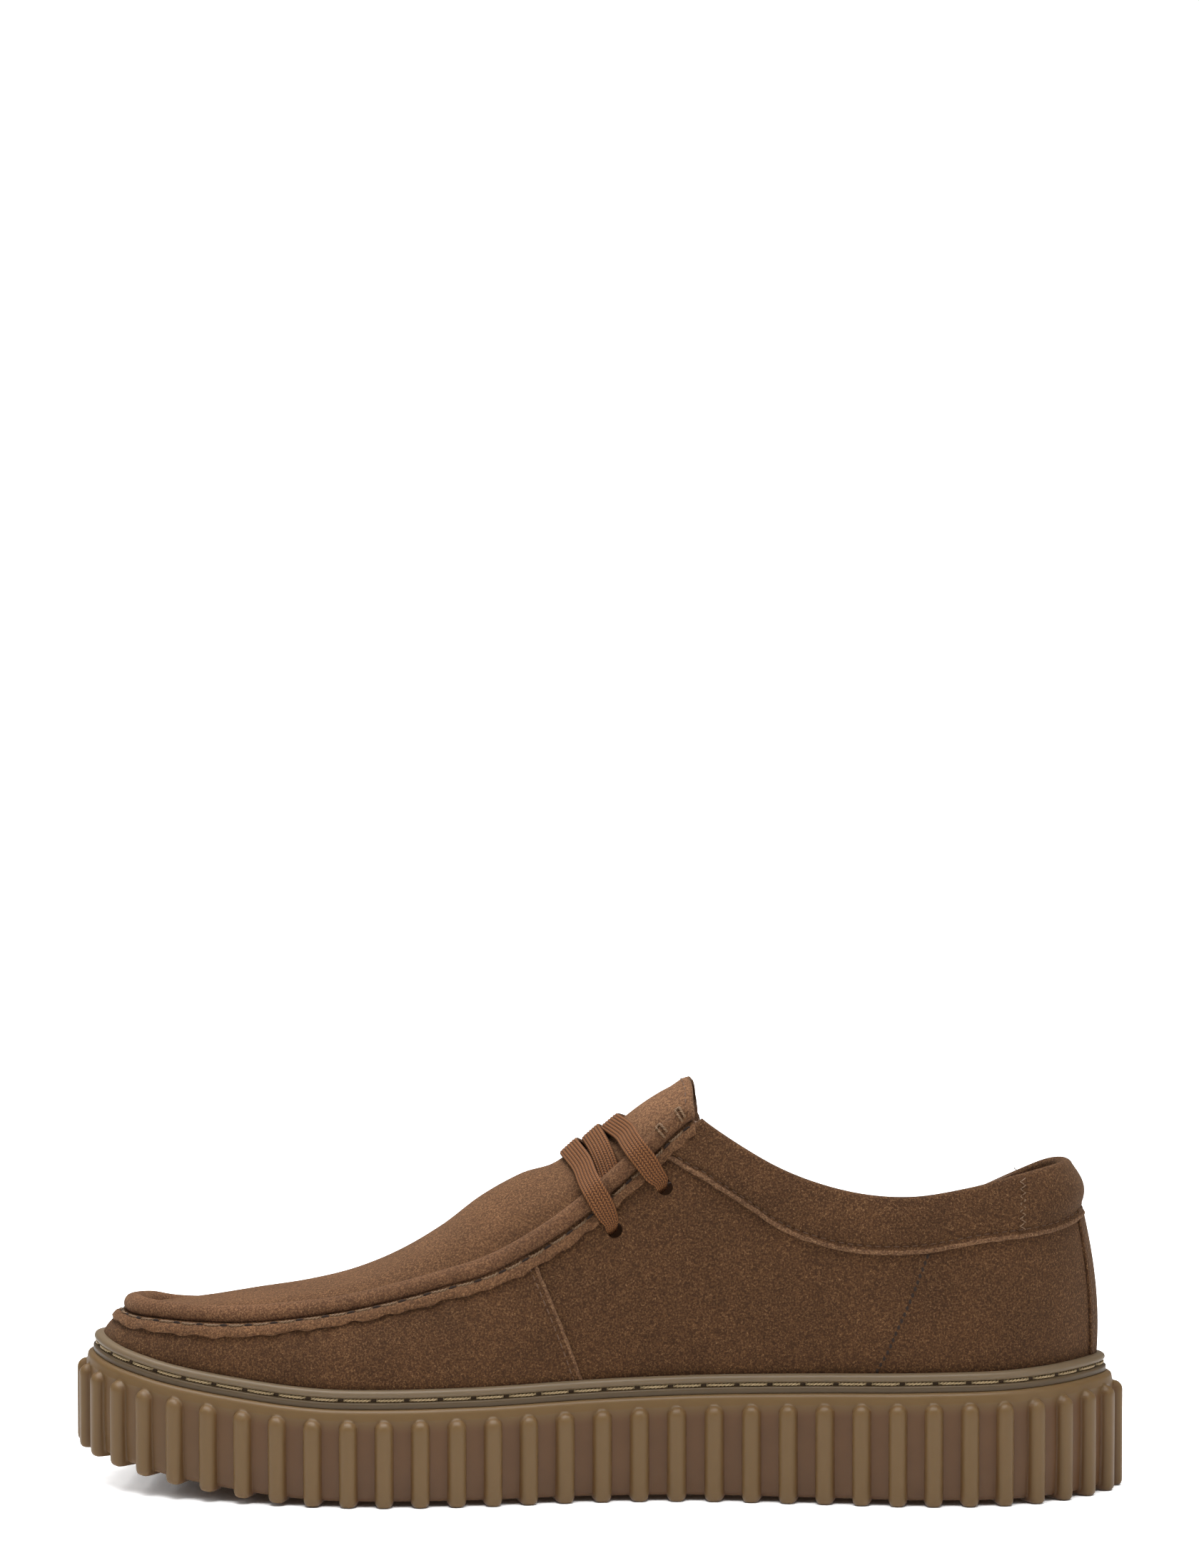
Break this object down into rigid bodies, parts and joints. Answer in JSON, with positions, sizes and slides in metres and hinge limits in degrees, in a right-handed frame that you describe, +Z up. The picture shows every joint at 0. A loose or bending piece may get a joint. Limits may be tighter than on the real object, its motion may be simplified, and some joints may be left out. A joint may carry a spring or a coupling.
{
  "type": "lace-up shoe",
  "caption": "Low moccasin-style lace-up shoe for the right foot, with a raised toe seam, a tongue, a flat lace and a thick ribbed cup sole.",
  "frame": {"origin": "on the floor, under the middle of the shoe's bounding box", "axes": "-X towards the toe, +X towards the heel; -Y the medial (inner) side, +Y the lateral (outer) side; +Z up"},
  "size_m": [0.3019, 0.1078, 0.116],
  "materials": {
    "gum_rubber": "matt moulded",
    "welt_rubber": "satin moulded",
    "insole_leather": "smooth lining leather",
    "brown_suede": "napped suede",
    "braided_lace": "flat braided cotton"
  },
  "bodies": {
    "root": {"outsole": "gum_rubber", "welt": "welt_rubber", "insole": "insole_leather", "upper": "brown_suede", "tongue": "brown_suede", "lace_lower": "braided_lace", "lace_middle": "braided_lace", "lace_upper": "braided_lace"}
  },
  "joints": []
}
